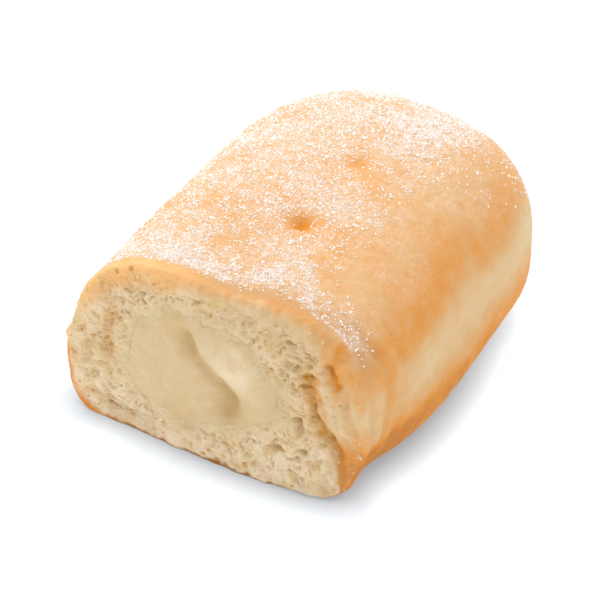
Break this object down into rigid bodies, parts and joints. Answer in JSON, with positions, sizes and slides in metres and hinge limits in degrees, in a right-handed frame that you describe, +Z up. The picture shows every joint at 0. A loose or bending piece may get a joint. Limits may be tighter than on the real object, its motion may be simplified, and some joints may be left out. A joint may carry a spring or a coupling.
{
  "type": "half of a sugared cream-filled bun",
  "caption": "Cut half of a long sugared bun with a core of custard cream, resting on its flat sole, one end round and the other a cut face.",
  "frame": {"origin": "on the surface the bun rests on, under the middle of its box", "axes": "+Z up; +Y along the bun from the cut face to the round end; +X to the right seen from the cut"},
  "size_m": [0.0627, 0.0854, 0.0416],
  "materials": {
    "baked_dough": "soft baked crust, golden on the crown and pale round the side, coated in sugar, with an open crumb where it is cut",
    "custard_cream": "smooth, moist and slightly glossy",
    "sugar": "clear to white granulated crystals"
  },
  "bodies": {
    "root": {"dough": "baked_dough", "cream": "custard_cream"}
  },
  "joints": []
}
